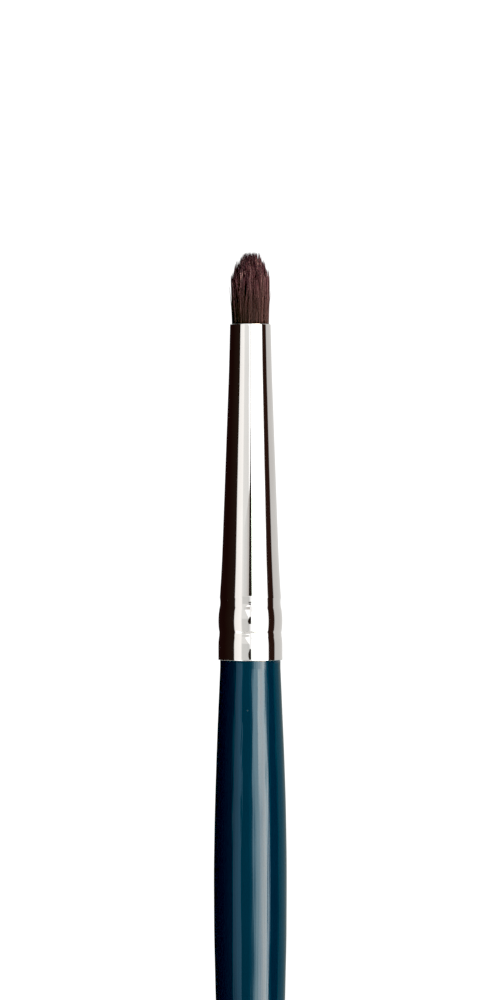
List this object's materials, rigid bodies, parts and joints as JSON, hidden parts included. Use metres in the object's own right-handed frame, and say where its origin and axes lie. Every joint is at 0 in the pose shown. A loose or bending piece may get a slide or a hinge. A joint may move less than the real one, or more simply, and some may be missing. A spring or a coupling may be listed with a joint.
{
  "type": "fine detail brush",
  "caption": "Round brush with short domed dark hair, a long conical bright ferrule with rolled crimps, and a glossy lacquered handle that swells and tapers.",
  "frame": {"origin": "centre of the rounded end of the handle, the lowest point of the upright brush", "axes": "+Z along the brush's axis towards the hair; the brush is round, so +X and +Y are free, and the hair's hinge lies along +Y"},
  "size_m": [0.0106, 0.0106, 0.1751],
  "materials": {
    "handle_wood": "satin",
    "handle_lacquer": "gloss",
    "glue": "satin",
    "nickel_plate": "polished",
    "hair": "satin",
    "thread": "matte",
    "resin": "gloss"
  },
  "bodies": {
    "handle_and_ferrule": {"handle_core": "handle_wood", "lacquer_coat": "handle_lacquer", "tenon_glue": "glue", "ferrule": "nickel_plate", "hair_root": "hair", "binding_thread": "thread", "root_resin": "resin"},
    "tuft": {"hair_tuft": "hair"}
  },
  "joints": [
    {"name": "tuft_bend", "type": "hinge", "parent": "handle_and_ferrule", "child": "tuft", "pos_m": [0, 0, 0.16445], "axis": [0, 1, 0], "range_deg": [-30, 30], "stiffness_Nm_per_rad": 0.004, "deforming": ["hair_tuft"]}
  ]
}
